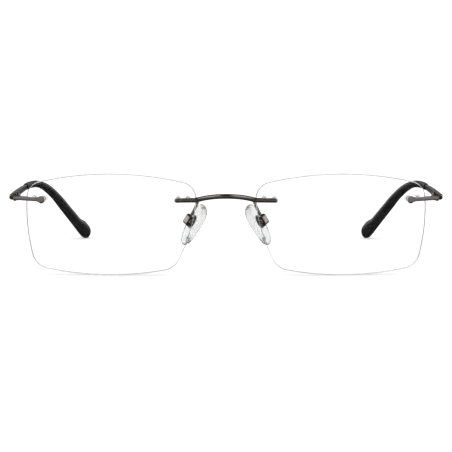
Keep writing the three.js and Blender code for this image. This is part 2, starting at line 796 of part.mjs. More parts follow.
function side(sideName) {
  const group = new THREE.Group();
  const lens = lensFrame();
  lens.add(piece(`lens_${sideName}`, lensGeometry(), LENS_CLEAR));
  lens.add(lensMount(NASAL_MOUNT, sideName, "bridge"));
  lens.add(lensMount(TEMPORAL_MOUNT, sideName, "endpiece"));

  const hinge = new THREE.Group();
  hinge.position.set(HINGE.axisX, ENDPIECE.backY + HINGE.buttGap / 2, TEMPORAL_MOUNT.height);
  const { front, temple: templeLeaf } = hingeLeaves();
  const { screwRadius, headRadius, headHeight, height } = HINGE;
  const screw = screwGeometry(screwRadius, height + 0.2, headRadius, headHeight);
  screw.rotateX(-Math.PI / 2).translate(0, 0, height / 2 + 0.06);
  hinge.add(piece(`hinge_leaf_front_${sideName}`, front, GUNMETAL));
  hinge.add(piece(`hinge_screw_${sideName}`, screw, STEEL));
  hinge.add(temple(sideName, templeLeaf));

  group.add(lens, hinge, nosePad(sideName));
  group.add(piece(`endpiece_${sideName}`, endpieceGeometry(), GUNMETAL));
  group.add(piece(`pad_arm_${sideName}`, padArmGeometry(), GUNMETAL));
  return group;
}

const front = new THREE.Group();
front.rotation.x = rad(FRONT_TILT);
const right = side("right");
const left = side("left");
left.scale.x = -1;
front.add(right, left, piece("bridge", bridgeGeometry(), GUNMETAL));

// The origin is below the middle of the glasses, on the surface that they stand on.
const glasses = new THREE.Group();
glasses.add(front);
glasses.updateMatrixWorld(true);
const bounds = new THREE.Box3().setFromObject(glasses, true);
const middle = bounds.getCenter(new THREE.Vector3());
front.position.set(0, -middle.y, -bounds.min.z);

export default glasses;
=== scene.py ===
import json
import math

import bpy
import numpy as np
from mathutils import Matrix, Vector


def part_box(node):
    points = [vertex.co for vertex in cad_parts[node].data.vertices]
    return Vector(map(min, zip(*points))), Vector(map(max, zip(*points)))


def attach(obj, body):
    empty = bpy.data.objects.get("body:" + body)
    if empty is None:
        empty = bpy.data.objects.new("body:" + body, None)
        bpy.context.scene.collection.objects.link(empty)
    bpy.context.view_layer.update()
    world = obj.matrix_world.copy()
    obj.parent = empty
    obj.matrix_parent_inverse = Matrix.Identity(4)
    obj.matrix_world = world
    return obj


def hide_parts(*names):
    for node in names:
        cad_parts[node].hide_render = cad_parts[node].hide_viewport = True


# Rimless eyeglasses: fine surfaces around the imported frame, their materials, the studio and the camera.
# Lengths are in millimetres until a mesh is made. X runs across the face, the front faces -Y, Z is up.
# Each piece of a side is made for the +X side, which the node names call right, and mirrored for the left.
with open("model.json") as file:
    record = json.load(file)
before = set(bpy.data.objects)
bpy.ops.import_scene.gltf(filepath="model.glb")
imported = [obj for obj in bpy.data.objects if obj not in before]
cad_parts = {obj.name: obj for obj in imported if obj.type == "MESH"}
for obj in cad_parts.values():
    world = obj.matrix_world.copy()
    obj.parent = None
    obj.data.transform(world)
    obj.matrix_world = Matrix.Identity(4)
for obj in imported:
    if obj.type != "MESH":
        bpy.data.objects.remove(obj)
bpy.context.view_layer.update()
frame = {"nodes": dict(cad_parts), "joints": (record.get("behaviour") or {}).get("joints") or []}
MM = 0.001
SIDES = {"right": 1, "left": -1}
UPRIGHT = (0.0, 0.0, 1.0)

# --- Driving dimensions, the same as in the part ---

NOSE_GAP = 18.8
CLEARANCE = 0.5
TEMPLE_DROP = 6.265
LENS_HALF_WIDTH, LENS_HALF_HEIGHT = 27, 16.2
LENS_THICKNESS, LENS_RADIUS = 1.8, 125
FACE_FORM = 4
LENS_EDGES = {"temporal": (66, 5), "top": (93, -0.6), "nasal": (49.4, 11.7), "bottom": (108, 1.6)}
LENS_CORNERS = [5.4, 5.5, 6, 5.6]
HOLE_RADIUS = 0.75
# Places of the two-pin mounts on a lens: across, height, spacing of the pins.
NASAL_MOUNT = (-22.95, 8.07, 3.15)
TEMPORAL_MOUNT = (23.325, 7.8, 3.2)
BAR = {"height": 1.52, "depth": 1.4, "end": 1.375, "rise": 1.34, "run": 9.9, "arch": 33, "bow": 0.8}
PADDLE_RADIUS, ROD_HEIGHT, ENDPIECE_THICKNESS, END_HEIGHT = 1.22, 1.28, 1.2, 1.6
ELBOW_RADIUS, SIDE_X, BACK_Y, ENDPIECE_RISE = 2.6, 68, 9.6, 0.25
HINGE_X, BUTT_GAP = 66.15, 0.3
TEMPLE_LENGTH, CORE_END, CORE_RADIUS = 126.6, 117.5, 0.5
STRIP_THICKNESS, STRIP_HEIGHT, STRIP_END_HEIGHT, STRIP_SWELL = 1.1, 1.6, 1.7, 0.5
INWARD, DOWNWARD = (62.3, 109.3, 31.3), (78.3, 108.1, 38.2)
TIP_START, TIP_BORE, TIP_BORE_END, TIP_ROUNDING = 60, 0.75, 118.5, 3.2
# Along the temple: height and thickness of the tip, and its lift over the wire.
TIP_SECTIONS = [
    (60, 2.2, 1.9, 0),
    (64, 2.35, 2, 0),
    (86, 2.4, 2, 0),
    (99, 3.1, 2.5, -0.05),
    (106, 3.6, 2.6, -0.05),
    (117, 3.85, 2.7, 0.1),
    (121.5, 5, 3.1, 0.65),
    (126.6, 4.8, 3.1, 0.75),
]
PAD_PIVOT, PAD_FRONTAL, PAD_SPLAY = (11.7, 7.6, 0.4), 30, 26
PAD_HEIGHT, PAD_WIDTH, PAD_THICKNESS, PAD_DROP, PAD_BACK = 14.1, 6.4, 2.45, 0.75, -1.1
PAD_BOX_HEIGHT, PAD_BOX_FAR = 3.5, 1.2
ARM_RADIUS, ARM_START, ARM_REACH, ARM_DROP, ARM_GAP = 0.5, 8.4, 7, 3.6, 0.06


# --- Small tools ---


def smoothstep(x, low, high):
    t = np.clip((x - low) / (high - low), 0, 1)
    return t * t * (3 - 2 * t)


def turned(degrees, axis):
    """A rotation matrix."""
    return np.array(Matrix.Rotation(math.radians(degrees), 3, axis))


def placed(rotation, position):
    """A rigid placement that takes an array of points."""
    return lambda points: np.asarray(points) @ np.asarray(rotation).T + np.asarray(position)


def superellipse(count, power):
    """A closed outline of half-size 1, with its first point on +X."""
    angle = np.linspace(0, 2 * np.pi, count, endpoint=False)
    c, s = np.cos(angle), np.sin(angle)
    return np.column_stack((np.sign(c) * abs(c) ** (2 / power), np.sign(s) * abs(s) ** (2 / power)))


def round_square(corner, steps=8):
    """A square of half-size 1 with round corners and flat sides."""
    angle = np.linspace(0, np.pi / 2, steps)
    flat = 1 - corner
    points = []
    for quarter, (x, y) in enumerate(((1, 1), (-1, 1), (-1, -1), (1, -1))):
        turn = angle + quarter * np.pi / 2
        points.append(np.column_stack((x * flat + corner * np.cos(turn), y * flat + corner * np.sin(turn))))
    return np.concatenate(points)


def sections(route, along, up, half_width, half_height, outline):
    """Rings of points: the outline laid square to each place of a route."""
    along = along / np.linalg.norm(along, axis=1)[:, None]
    up = up - along * np.sum(along * up, axis=1)[:, None]
    up = up / np.linalg.norm(up, axis=1)[:, None]
    across = np.cross(up, along)
    width = np.broadcast_to(half_width, len(route))[:, None, None]
    height = np.broadcast_to(half_height, len(route))[:, None, None]
    x, y = outline[None, :, 0, None], outline[None, :, 1, None]
    return route[:, None] + across[:, None] * x * width + up[:, None] * y * height


def loft(rings):
    """Vertices and faces of a closed skin over rings of equal count."""
    count = len(rings[0])
    vertices = np.concatenate(rings)
    faces = []
    for i in range(len(rings) - 1):
        for j in range(count):
            a, b = i * count + j, i * count + (j + 1) % count
            faces.append((a, b, b + count, a + count))
    last = (len(rings) - 1) * count
    faces.append(tuple(reversed(range(count))))
    faces.append(tuple(range(last, last + count)))
    return vertices, faces


def round_end(distance, rounding):
    """Share of full size at a distance from an end that is rounded off."""
    t = np.clip(distance / rounding, 0, 1)
    return np.maximum(np.sqrt(1 - (1 - t) ** 2), 0.02)


def eased_ends(start, end, rounding, step):
    """Places from start to end, closer together where an end is rounded off."""
    close = rounding * (1 - np.cos(np.linspace(0, np.pi / 2, 10)))
    middle = np.arange(start + rounding + step, end - rounding - step / 2, step)
    return np.concatenate((start + close, middle, (end - close)[::-1]))


def new_mesh(name, vertices, faces):
    mesh = bpy.data.meshes.new(name)
    mesh.from_pydata(np.asarray(vertices).tolist(), [], [list(map(int, face)) for face in faces])
    mesh.validate()
    mesh.update()
    return mesh


def outward(mesh):
    """Turns the faces out, by the sign of the mesh's volume."""
    mesh.calc_loop_triangles()
    volume = 0.0
    for triangle in mesh.loop_triangles:
        a, b, c = (mesh.vertices[i].co for i in triangle.vertices)
        volume += a.dot(b.cross(c))
    if volume < 0:
        mesh.flip_normals()


def add_piece(name, mesh, nodes, body, materials, sharp=35, mirror=False):
    """A piece in metres in place of CAD nodes. The mesh is in millimetres."""
    mesh = mesh.copy()
    mesh.name = name
    mesh.transform(Matrix.Diagonal((-MM if mirror else MM, MM, MM, 1)))
    outward(mesh)
    mesh.shade_smooth()
    mesh.set_sharp_from_angle(angle=math.radians(sharp))
    for material in materials:
        mesh.materials.append(material)
    piece = bpy.data.objects.new(name, mesh)
    bpy.context.scene.collection.objects.link(piece)
    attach(piece, body)
    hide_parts(*nodes)


def own_body(body, side):
    """The front is one body for both sides. Each temple and each pad is that side's own."""
    return body if body == "front" else f"{body}_{side}"


def add_pair(base, mesh, body, materials, sharp=35):
    """The same piece on both sides, mirrored for the left."""
    for side, sign in SIDES.items():
        node = f"{base}_{side}"
        add_piece(f"{node}_fine", mesh, [node], own_body(body, side), materials, sharp, sign < 0)


def applied(mesh, *modifiers):
    """The mesh with modifiers applied: each is a type and its settings."""
    carrier = bpy.data.objects.new("carrier", mesh)
    bpy.context.scene.collection.objects.link(carrier)
    for kind, settings in modifiers:
        modifier = carrier.modifiers.new(kind, kind)
        for key, value in settings.items():
            setattr(modifier, key, value)
    depsgraph = bpy.context.evaluated_depsgraph_get()
    result = bpy.data.meshes.new_from_object(carrier.evaluated_get(depsgraph))
    bpy.data.objects.remove(carrier)
    return result


# --- Frames of reference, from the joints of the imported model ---

JOINTS = {joint["name"]: joint for joint in frame["joints"]}
HINGE = JOINTS["temple_right_hinge"]
FRONT_TILT = math.degrees(math.atan2(-HINGE["axis"][1], HINGE["axis"][2]))
HINGE_IN_FRONT = np.array([HINGE_X, BACK_Y + BUTT_GAP / 2, TEMPORAL_MOUNT[1]])
HINGE_PLACE = np.array(HINGE["pos_m"]) / MM
TILT = turned(FRONT_TILT, "X")
from_front = placed(TILT, HINGE_PLACE - TILT @ HINGE_IN_FRONT)
from_temple = placed(turned(FRONT_TILT - TEMPLE_DROP, "X"), HINGE_PLACE)
PAD_TURN = turned(-PAD_FRONTAL, "Y") @ turned(-PAD_SPLAY, "Z")
pad_to_front = placed(PAD_TURN, PAD_PIVOT)
lens_to_front = placed(turned(FACE_FORM, "Z"), (NOSE_GAP / 2 + LENS_HALF_WIDTH, 0, 0))


def sag(u, v, radius=LENS_RADIUS):
    """Depth behind the lens's foremost point of a surface with the lens's centre of curvature."""
    return LENS_RADIUS - np.sqrt(radius**2 - u**2 - v**2)


def mount_to_lens(mount):
    """From a mount's own frame, square to the lens's front face, to the lens."""
    across, height = mount[:2]
    turn = math.degrees(math.asin(across / LENS_RADIUS))
    return placed(turned(turn, "Z"), (across, sag(across, height), height))


def mount_to_front(mount):
    to_lens = mount_to_lens(mount)
    return lambda points: lens_to_front(to_lens(points))


def mount_slope(mount):
    """Angle in plan between a mount and the X axis of the front."""
    return math.radians(FACE_FORM) + math.asin(mount[0] / LENS_RADIUS)


# --- Lens ---

# The bevel round the lens is widest towards the nose and narrowest along the bottom. Its width on each side
# sets how dark the grey bevel line shows there: painted shade along the lens's edge.
BEVEL, NASAL_BEVEL, BOTTOM_BEVEL = 0.17, 0.08, 0.07


def fillet_centre(a, b, radius, corner):
    """Centre of a fillet that touches two edge circles from inside."""
    (ax, ay, ar), (bx, by, br) = a, b
    reach_a, reach_b = ar - radius, br - radius
    line = np.array([bx - ax, by - ay])
    gap = np.linalg.norm(line)
    line = line / gap
    along = (reach_a**2 - reach_b**2 + gap**2) / (2 * gap)
    across = math.sqrt(reach_a**2 - along**2)
    foot = np.array([ax, ay]) + line * along
    square = np.array([-line[1], line[0]])
    return min((foot + sign * across * square for sign in (1, -1)), key=lambda p: np.linalg.norm(p - corner))


def lens_outline(per_edge=60, per_corner=28):
    """The lens seen from the front: eight arcs, each meeting the next without a kink."""
    w, h = LENS_HALF_WIDTH, LENS_HALF_HEIGHT
    (tr, tc), (ur, uc) = LENS_EDGES["temporal"], LENS_EDGES["top"]
    (nr, nc), (br, bc) = LENS_EDGES["nasal"], LENS_EDGES["bottom"]
    edges = [(w - tr, tc, tr), (uc, h - ur, ur), (nr - w, nc, nr), (bc, br - h, br)]
    wanted = [(w, h), (-w, h), (-w, -h), (w, -h)]
    corners = []
    for i, radius in enumerate(LENS_CORNERS):
        before, after = edges[i], edges[(i + 1) % 4]
        centre = fillet_centre(before, after, radius, np.array(wanted[i]))
        start = math.atan2(centre[1] - before[1], centre[0] - before[0])
        end = math.atan2(centre[1] - after[1], centre[0] - after[0])
        corners.append((centre, radius, start, end))
    points = []

    def arc(centre, radius, start, end, count):
        end = start + (end - start) % (2 * math.pi)
        for angle in np.linspace(start, end, count, endpoint=False):
            points.append((centre[0] + radius * math.cos(angle), centre[1] + radius * math.sin(angle)))

    for i, (centre, radius, start, end) in enumerate(corners):
        edge = edges[(i + 1) % 4]
        arc(centre, radius, start, end, per_corner)
        arc(edge[:2], edge[2], end, corners[(i + 1) % 4][2], per_edge)
    return np.array(points)


def outward_of(outline):
    """The direction out of the lens at each point of its outline."""
    tangent = np.roll(outline, -1, 0) - np.roll(outline, 1, 0)
    tangent = tangent / np.linalg.norm(tangent, axis=1)[:, None]
    return np.column_stack((tangent[:, 1], -tangent[:, 0]))


def lens_mesh():
    """A spherical shell cut to the outline, its rim flat between safety bevels, with its drilled holes."""
    outline = lens_outline()
    out = outward_of(outline)
    bevel = BEVEL + NASAL_BEVEL * np.maximum(-out[:, 0], 0) - BOTTOM_BEVEL * np.maximum(-out[:, 1], 0)
    inner = outline - bevel[:, None] * out
    back_radius = LENS_RADIUS - LENS_THICKNESS
    front, back, rim = [], [], []
    for share in np.sqrt(np.linspace(0.002, 1, 22)):
        across, height = share * inner.T
        front.append(np.column_stack((across, sag(across, height), height)))
        back.append(np.column_stack((across, sag(across, height, back_radius), height)))
    for share in np.linspace(0, 1, 7):
        depth = (1 - share) * (sag(*outline.T) + bevel) + share * (sag(*outline.T, back_radius) - bevel)
        rim.append(np.column_stack((outline[:, 0], depth, outline[:, 1])))
    mesh = new_mesh("lens", *loft([*front, *rim, *back[::-1]]))
    outward(mesh)
    for mount in (NASAL_MOUNT, TEMPORAL_MOUNT):
        mesh = drilled(mesh, mount)
    mark_ground_faces(mesh)
    mesh.vertices.foreach_set("co", from_front(lens_to_front(coordinates(mesh))).ravel())
    return mesh


def coordinates(mesh):
    """The mesh's vertices as rows."""
    co = np.zeros(len(mesh.vertices) * 3)
    mesh.vertices.foreach_get("co", co)
    return co.reshape(-1, 3)


def drilled(mesh, mount):
    """The lens less its two holes at a mount."""
    to_lens = mount_to_lens(mount)
    spacing = mount[2]
    circle = superellipse(48, 2) * HOLE_RADIUS
    for x in (-spacing / 2, spacing / 2):
        rings = []
        for y in (-3.0, 5.0):
            rings.append(to_lens(np.column_stack((circle[:, 0] + x, np.full(len(circle), y), circle[:, 1]))))
        cutter_mesh = new_mesh("drill", *loft(rings))
        outward(cutter_mesh)
        cutter = bpy.data.objects.new("drill", cutter_mesh)
        bpy.context.scene.collection.objects.link(cutter)
        settings = {"object": cutter, "operation": "DIFFERENCE", "solver": "EXACT"}
        mesh = applied(mesh, ("BOOLEAN", settings))
        bpy.data.objects.remove(cutter)
    return mesh


def mark_ground_faces(mesh):
    """The bevels take the second material. The rim and the walls of the holes take the third."""
    for polygon in mesh.polygons:
        x, y, z = polygon.center
        out = Vector((x, y - LENS_RADIUS, z)).normalized()
        upright = abs(polygon.normal.dot(out))
        polygon.material_index = int(upright < 0.85) + int(upright < 0.3)


# --- Bridge, endpieces and pad arms ---


def arch_height(x):
    """Rise of the bridge: one large arc, eased into each straight end by a smaller one."""
    turn = 2 * math.atan(BAR["rise"] / BAR["run"])
    ease = BAR["run"] / math.sin(turn) - BAR["arch"]
    d = np.abs(x)
    foot = ease - np.sqrt(np.maximum(ease**2 - (BAR["run"] - d) ** 2, 0))
    crown = BAR["rise"] - BAR["arch"] + np.sqrt(BAR["arch"] ** 2 - d**2)
    arch = np.where(d > BAR["arch"] * math.sin(turn), foot, crown)
    return np.where(d >= BAR["run"], 0, arch)


def bridge_points(x):
    """Middle line of the bridge. Its ends lie flat against the lenses."""
    x = np.atleast_1d(np.asarray(x, float))
    seat = mount_to_front(NASAL_MOUNT)([0, -CLEARANCE - BAR["depth"] / 2, 0])
    slope = math.tan(mount_slope(NASAL_MOUNT))
    d = np.abs(x)
    inside = np.maximum(1 - d / BAR["run"], 0)
    straight = seat[1] + slope * (np.maximum(d, BAR["run"]) - seat[0])
    ease = -slope * BAR["run"] * inside * (1 - inside) ** 2
    y = straight + ease - BAR["bow"] * smoothstep(inside, 0, 1)
    return np.column_stack((x, y, NASAL_MOUNT[1] + arch_height(x)))


def bridge_mesh():
    reach = mount_to_front(NASAL_MOUNT)([NASAL_MOUNT[2] / 2 + BAR["end"], 0, 0])[0]
    rounding = BAR["height"] / 2
    x = eased_ends(-reach, reach, rounding, 0.25)
    along = bridge_points(x + 0.05) - bridge_points(x - 0.05)
    size = round_end(reach - np.abs(x), rounding) / 2
    up = np.tile(UPRIGHT, (len(x), 1))
    outline = superellipse(48, 2.3)
    rings = sections(bridge_points(x), along, up, size * BAR["depth"], size * BAR["height"], outline)
    return new_mesh("bridge", *loft(from_front(rings)))


def endpiece_route():
    """In plan: out along the lens from the round paddle, round the elbow, and back to the hinge."""
    to_front = mount_to_front(TEMPORAL_MOUNT)
    start = to_front([-TEMPORAL_MOUNT[2] / 2 - PADDLE_RADIUS, -CLEARANCE - ENDPIECE_THICKNESS / 2, 0])
    slope = mount_slope(TEMPORAL_MOUNT)
    bend_x = SIDE_X - ELBOW_RADIUS
    arc_x = bend_x + ELBOW_RADIUS * math.sin(slope)
    arc_start = np.array([arc_x, start[1] + (arc_x - start[0]) * math.tan(slope), start[2] + ENDPIECE_RISE])
    bend_y = arc_start[1] + ELBOW_RADIUS * math.cos(slope)
    run = np.linalg.norm(arc_start - start)
    places = np.concatenate((2 * PADDLE_RADIUS * (1 - np.cos(np.linspace(0, np.pi / 2, 24))) / run, [0.3]))
    places = np.concatenate((places, np.linspace(0.35, 1, 24)))
    straight = start + places[:, None] * (arc_start - start)
    angle = np.linspace(slope, np.pi / 2, 24)[1:]
    elbow = np.column_stack((
        bend_x + ELBOW_RADIUS * np.sin(angle),
        bend_y - ELBOW_RADIUS * np.cos(angle),
        np.full(len(angle), arc_start[2]),
    ))
    share = np.linspace(0, 1, 16)[1:, None]
    back = elbow[-1] + share * (np.array([SIDE_X, BACK_Y, start[2]]) - elbow[-1])
    return np.concatenate((straight, elbow, back))


def endpiece_half_height(distance):
    """A disc that runs into the rod through a smooth neck."""
    disc = np.sqrt(np.maximum(PADDLE_RADIUS**2 - (distance - PADDLE_RADIUS) ** 2, 0))
    neck = 1 - smoothstep(distance, 1.1 * PADDLE_RADIUS, 2.4 * PADDLE_RADIUS)
    rod = ROD_HEIGHT / 2 + neck * (np.maximum(disc, 0.8 * PADDLE_RADIUS) - ROD_HEIGHT / 2)
    return np.where(distance < PADDLE_RADIUS, np.maximum(disc, 0.03), rod)


def endpiece_mesh():
    route = endpiece_route()
    along = np.gradient(route, axis=0)
    along[-1] = (0, 1, 0)
    from_start = np.linalg.norm(route - route[0], axis=1)
    travelled = np.concatenate(([0], np.cumsum(np.linalg.norm(np.diff(route, axis=0), axis=1))))
    flare = smoothstep(travelled, travelled[-1] * 0.55, travelled[-1] * 0.9) * (END_HEIGHT - ROD_HEIGHT) / 2
    half_height = endpiece_half_height(from_start) + flare
    half_width = ENDPIECE_THICKNESS / 2 * np.clip(0.72 + from_start / 0.9, 0, 1)
    up = np.tile(UPRIGHT, (len(route), 1))
    rings = sections(route, along, up, half_width, half_height, round_square(0.5))
    return new_mesh("endpiece", *loft(from_front(rings)))


def bezier(points, t):
    """Points of a cubic curve."""
    a, b, c, d = (np.asarray(p, float) for p in points)
    t = t[:, None]
    return (1 - t) ** 3 * a + 3 * (1 - t) ** 2 * t * b + 3 * (1 - t) * t**2 * c + t**3 * d


def pad_arm_mesh():
    """From behind the bridge, back and down to the top of the pad box."""
    start = bridge_points(ARM_START)[0] + (0, BAR["depth"] / 2 + ARM_GAP, -0.1)
    landing = np.array([PAD_BOX_FAR - 0.95, 0, PAD_BOX_HEIGHT / 2 + ARM_GAP])
    above = pad_to_front(landing + (0, 0, ARM_DROP))
    route = bezier((start, start + (0, ARM_REACH, -0.3), above, pad_to_front(landing)), np.linspace(0, 1, 72))
    up = np.tile((1.0, 0.0, 0.0), (len(route), 1))
    rings = sections(route, np.gradient(route, axis=0), up, ARM_RADIUS, ARM_RADIUS, superellipse(28, 2))
    return new_mesh("pad_arm", *loft(from_front(rings)))


# --- Temples ---

STRIDE = 0.1
MOUTH_ROUNDING = 0.35


def trace_temple():
    """Places along the temple every STRIDE, and its direction at each."""
    at = np.arange(0, TEMPLE_LENGTH + 2 * STRIDE, STRIDE)
    inward = np.radians(INWARD[2]) * smoothstep(at, INWARD[0], INWARD[1])
    down = np.radians(DOWNWARD[2]) * smoothstep(at, DOWNWARD[0], DOWNWARD[1])
    along = np.column_stack((-np.sin(inward) * np.cos(down), np.cos(inward) * np.cos(down), -np.sin(down)))
    start = np.array([SIDE_X - HINGE_X, BUTT_GAP / 2, 0])
    centre = start + STRIDE * np.concatenate(([[0, 0, 0]], np.cumsum(along, axis=0)[:-1]))
    return at, centre, along


TRACE_AT, TRACE_CENTRE, TRACE_ALONG = trace_temple()


def temple_places(at):
    """Middle of the temple and its direction, at places along it."""
    centre = np.column_stack([np.interp(at, TRACE_AT, TRACE_CENTRE[:, k]) for k in range(3)])
    along = np.column_stack([np.interp(at, TRACE_AT, TRACE_ALONG[:, k]) for k in range(3)])
    return centre, along


def temple_rings(at, half_thickness, half_height, outline, lift=0.0):
    """Rings of points round the temple at places along it, raised off its middle line by the lift."""
    centre, along = temple_places(at)
    up = np.tile(UPRIGHT, (len(at), 1))
    square = up - along * along[:, 2:3]
    square = square / np.linalg.norm(square, axis=1)[:, None]
    centre = centre + square * np.reshape(np.broadcast_to(lift, len(at)), (-1, 1))
    return from_temple(sections(centre, along, up, half_thickness, half_height, outline))


def temple_arm_mesh():
    """A flat strip, then a shoulder and the round core wire inside the tip."""
    shoulder = TIP_START - 0.1
    at = np.concatenate(([0, 0.06, 0.16], np.linspace(0.4, shoulder - 0.2, 90), [shoulder - 0.06, shoulder]))
    share = at / shoulder
    taper = (STRIP_END_HEIGHT - STRIP_HEIGHT) * share
    height = STRIP_HEIGHT + taper + STRIP_SWELL * np.sin(np.pi * share)
    edge = np.ones(len(at))
    edge[[0, -1]] = 0.88
    edge[[1, -2]] = 0.96
    strip = temple_rings(at, edge * STRIP_THICKNESS / 2, edge * height / 2, round_square(0.5))
    core_at = np.linspace(shoulder + 0.05, CORE_END, 120)
    core = temple_rings(core_at, CORE_RADIUS, CORE_RADIUS, round_square(0.999))
    return new_mesh("temple_arm", *loft([*strip, *core]))


def tip_sizes(at):
    """Height, thickness and lift of the tip at places along the temple, easing from row to row."""
    rows = np.array(TIP_SECTIONS)
    after = np.clip(np.searchsorted(rows[:, 0], at), 1, len(rows) - 1)
    a, b = rows[after - 1], rows[after]
    share = smoothstep(at, a[:, 0], b[:, 0])[:, None]
    return (a[:, 1:] * (1 - share) + b[:, 1:] * share).T


def temple_tip_mesh():
    """A moulded tip with a bore for the core wire."""
    fine = np.linspace(0, np.pi / 2, 16)
    nose = TEMPLE_LENGTH - TIP_ROUNDING * (1 - np.sin(fine))
    mouth = TIP_START + MOUTH_ROUNDING * (1 - np.cos(np.linspace(0, np.pi / 2, 6)))
    at = np.concatenate((mouth, np.arange(TIP_START + 0.8, TEMPLE_LENGTH - TIP_ROUNDING - 0.2, 0.4), nose))
    height, thickness, lift = tip_sizes(at)
    size = round_end(TEMPLE_LENGTH - at, TIP_ROUNDING) / 2
    lip = 0.86 + 0.14 * round_end(at - TIP_START, MOUTH_ROUNDING)
    outline = superellipse(56, 2.4)
    outer = temple_rings(at, lip * size * thickness, lip * size * height, outline, lift)
    bore_at = np.linspace(TIP_START, TIP_BORE_END, 110)
    bore = temple_rings(bore_at, TIP_BORE, TIP_BORE, superellipse(56, 2))
    return new_mesh("temple_tip", *loft([*bore[::-1], *outer]))


# --- Nose pads ---


def pad_outline(count=44):
    """Seen from the nose: a drop with its narrow end down and its front edge flatter."""
    h, w = PAD_HEIGHT / 2, PAD_WIDTH / 2
    curves = [
        ((-w, 0.4 * h), (-w, -0.45 * h), (-0.8 * w, -h), (-0.15 * w, -h)),
        ((-0.15 * w, -h), (0.45 * w, -h), (w, -0.55 * h), (w, 0.15 * h)),
        ((w, 0.15 * h), (w, 0.75 * h), (0.75 * w, h), (0.3 * w, h)),
        ((0.3 * w, h), (-0.5 * w, h), (-w, 0.85 * h), (-w, 0.4 * h)),
    ]
    t = np.linspace(0, 1, count, endpoint=False)
    return np.concatenate([bezier(curve, t) for curve in curves])


def nose_pad_mesh():
    """Full size at mid-thickness and softly rounded off, with a faintly crowned face and a flat back."""
    outline = pad_outline()
    steep = math.radians(78)
    angle = np.linspace(-steep, steep, 29)
    size = 0.72 + 0.28 * np.cos(angle) ** 0.8
    depth = PAD_BACK - PAD_THICKNESS / 2 + np.sin(angle) / math.sin(steep) * PAD_THICKNESS / 2
    shares = np.sqrt(np.linspace(0.96, 0.002, 14))
    crown = 0.12
    size = np.concatenate((size[0] * shares[::-1], size, size[-1] * shares))
    face = depth[0] - crown * (1 - shares[::-1] ** 2)
    back = np.full(len(shares), depth[-1])
    depth = np.concatenate((face, depth, back))
    rings = [
        np.column_stack((np.full(len(outline), x), outline[:, 0] * s, outline[:, 1] * s - PAD_DROP))
        for x, s in zip(depth, size)
    ]
    return new_mesh("nose_pad", *loft([from_front(pad_to_front(ring)) for ring in rings]))


# --- Small machined and moulded pieces: the CAD solid with its edges softened ---


def softened(node, voxel, rounds):
    """A fine remesh of a CAD node, in millimetres, smoothed so that its edges catch the light."""
    mesh = frame["nodes"][node].data.copy()
    mesh.materials.clear()
    mesh.transform(Matrix.Scale(1 / MM, 4))
    remesh = ("REMESH", {"mode": "VOXEL", "voxel_size": voxel, "adaptivity": 0.0})
    smooth = ("SMOOTH", {"factor": 0.5, "iterations": rounds})
    return applied(mesh, remesh, smooth)


def add_softened(base, body, material, voxel, rounds):
    for side in SIDES:
        node = f"{base}_{side}"
        mesh = softened(node, voxel, rounds)
        add_piece(f"{node}_fine", mesh, [node], own_body(body, side), [material], sharp=80)


# --- Materials ---


def new_material(name, **values):
    """A Principled material, its node tree and its shader."""
    material = bpy.data.materials.new(name)
    material.use_nodes = True
    tree = material.node_tree
    shader = tree.nodes["Principled BSDF"]
    for key, value in values.items():
        shader.inputs[key.replace("_", " ")].default_value = value
    return material, tree, shader


def noise(tree, scale, detail, rough=0.55, stretch=(1, 1, 1), distortion=0.0):
    """Noise in the object's own coordinates, in metres. Its factor is about 0.3 to 0.7."""
    place = tree.nodes.new("ShaderNodeTexCoord")
    mapping = tree.nodes.new("ShaderNodeMapping")
    texture = tree.nodes.new("ShaderNodeTexNoise")
    mapping.inputs["Scale"].default_value = stretch
    texture.inputs["Scale"].default_value = scale
    texture.inputs["Detail"].default_value = detail
    texture.inputs["Roughness"].default_value = rough
    texture.inputs["Distortion"].default_value = distortion
    tree.links.new(place.outputs["Object"], mapping.inputs["Vector"])
    tree.links.new(mapping.outputs["Vector"], texture.inputs["Vector"])
    return texture.outputs["Fac"]


def ramp(tree, factor, *stops):
    """A colour ramp over stops of position and grey or colour."""
    node = tree.nodes.new("ShaderNodeValToRGB")
    elements = node.color_ramp.elements
    while len(elements) < len(stops):
        elements.new(0.5)
    for element, (position, value) in zip(elements, stops):
        element.position = position
        colour = (value,) * 3 if isinstance(value, (int, float)) else value
        element.color = (*colour, 1)
    tree.links.new(factor, node.inputs["Fac"])
    return node.outputs["Color"]


def bump(tree, shader, height, distance, strength):
    node = tree.nodes.new("ShaderNodeBump")
    node.inputs["Strength"].default_value = strength
    node.inputs["Distance"].default_value = distance
    tree.links.new(height, node.inputs["Height"])
    tree.links.new(node.outputs["Normal"], shader.inputs["Normal"])


def edge_wear(tree):
    """Near 1 on convex edges, where plating wears bright."""
    geometry = tree.nodes.new("ShaderNodeNewGeometry")
    return ramp(tree, geometry.outputs["Pointiness"], (0.52, 0.0), (0.6, 1.0))


def mixed(tree, factor, first, second):
    """A colour between two, each a plain colour or another node's output."""
    node = tree.nodes.new("ShaderNodeMix")
    node.data_type = "RGBA"
    tree.links.new(factor, node.inputs["Factor"])
    for socket, value in (("A", first), ("B", second)):
        target = next(i for i in node.inputs if i.name == socket and i.type == "RGBA")
        if isinstance(value, bpy.types.NodeSocket):
            tree.links.new(value, target)
        else:
            target.default_value = (*value, 1)
    return next(o for o in node.outputs if o.type == "RGBA")


